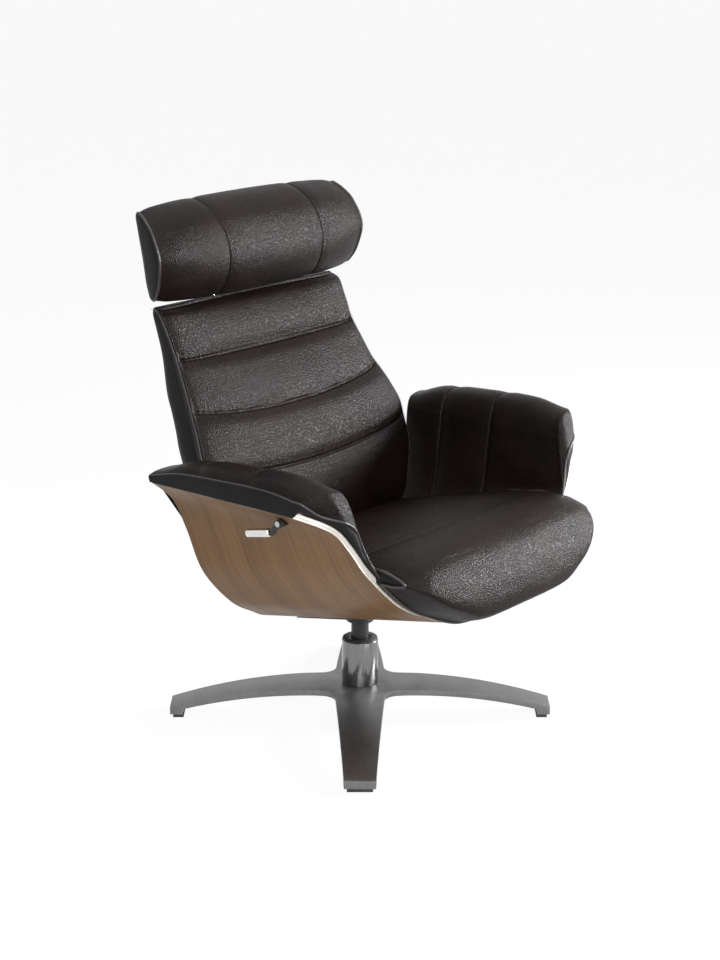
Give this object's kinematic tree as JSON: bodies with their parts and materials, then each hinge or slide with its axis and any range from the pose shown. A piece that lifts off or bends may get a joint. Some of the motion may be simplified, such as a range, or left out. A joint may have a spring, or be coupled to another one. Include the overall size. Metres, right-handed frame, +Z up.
{
  "type": "star base swivel recliner",
  "caption": "Leather recliner with a curved walnut plywood shell, padded arms, a channelled reclining back and a roll headrest, on a grey star base that swivels.",
  "frame": {"origin": "on the floor, under the middle of the outline seen from above; the swivel axis stands 40 mm behind it", "axes": "+Z up, -Y to the front of the chair, -X to the sitter's right, where the release lever is"},
  "size_m": [0.7974, 0.6881, 0.975],
  "materials": {
    "cast_base": "satin grey cast aluminium",
    "polished_steel": "polished dark steel",
    "bright_steel": "bright polished steel",
    "zinc_steel": "zinc plated",
    "black_steel": "black powder coat",
    "black_plastic": "satin moulded",
    "bush_plastic": "natural moulded",
    "rubber": "matt",
    "walnut_ply": "clear matt lacquer",
    "birch_ply": "raw",
    "leather": "semi gloss, pebbled grain",
    "cover": "smooth, satin"
  },
  "bodies": {
    "base": {"base_star": "cast_base", "foot_pads": "rubber", "foot_screws": "zinc_steel", "column_tube": "polished_steel", "column_cap": "black_plastic", "column_bolts": "zinc_steel", "upper_bush": "black_plastic", "lower_bush": "black_plastic", "thrust_bearing": "zinc_steel"},
    "seat": {"spindle": "black_steel", "mount_plate": "black_steel", "plate_bolts": "black_steel", "tee_nuts": "zinc_steel", "shell": "walnut_ply", "seat_board": "birch_ply", "seat_cushion": "leather", "arm_pad_right": "leather", "arm_pad_left": "leather", "rail_right": "black_steel", "rail_left": "black_steel", "rail_screws": "zinc_steel", "board_screws": "zinc_steel", "cross_bar": "black_steel", "recline_pins": "zinc_steel", "lever_bush": "black_plastic", "lever_spring": "zinc_steel", "release_cable": "black_plastic"},
    "lever": {"lever_shaft": "zinc_steel", "lever_bracket": "black_steel", "lever_grip": "bright_steel", "release_cam": "zinc_steel"},
    "gas_cylinder": {"gas_cylinder": "black_steel"},
    "gas_rod": {"gas_rod": "bright_steel"},
    "back": {"back_frame": "black_steel", "frame_bushes": "bush_plastic", "gas_pin": "zinc_steel", "back_screws": "zinc_steel", "back_board": "birch_ply", "back_cushion": "leather", "back_cover": "cover", "bar_guides": "black_plastic"},
    "headrest_slide": {"headrest_bars": "zinc_steel"},
    "headrest": {"headrest_clamps": "black_steel", "clamp_screws": "zinc_steel", "headrest_board": "birch_ply", "headrest_cushion": "leather"}
  },
  "joints": [
    {"name": "swivel", "type": "hinge", "parent": "base", "child": "seat", "pos_m": [0, 0.04, 0.1], "axis": [0, 0, 1], "continuous": true},
    {"name": "recline", "type": "hinge", "parent": "seat", "child": "back", "pos_m": [0, 0.144, 0.3], "axis": [-1, 0, 0], "range_deg": [0, 22]},
    {"name": "gas_pivot", "type": "hinge", "parent": "seat", "child": "gas_cylinder", "pos_m": [-0.06, -0.12, 0.306], "axis": [-1, 0, 0], "range_deg": [0, 0.84]},
    {"name": "gas_stroke", "type": "slide", "parent": "gas_cylinder", "child": "gas_rod", "axis": [0, -0.9803, 0.1974], "range_m": [0, 0.0188]},
    {"name": "headrest_height", "type": "slide", "parent": "back", "child": "headrest_slide", "axis": [0, 0.3305, 0.9438], "range_m": [0, 0.06]},
    {"name": "headrest_tilt", "type": "hinge", "parent": "headrest_slide", "child": "headrest", "pos_m": [0, 0.323, 0.876], "axis": [1, 0, 0], "range_deg": [-15, 15]},
    {"name": "release_lever", "type": "hinge", "parent": "seat", "child": "lever", "pos_m": [-0.379, -0.09, 0.495], "axis": [1, 0, 0], "range_deg": [0, 20], "stiffness_Nm_per_rad": 1, "springref_deg": -11.46}
  ],
  "couplings": [
    {"joint": "gas_pivot", "follows": "recline", "ratio": 0.037679},
    {"joint": "gas_stroke", "follows": "recline", "m_per_rad": 0.048645}
  ]
}
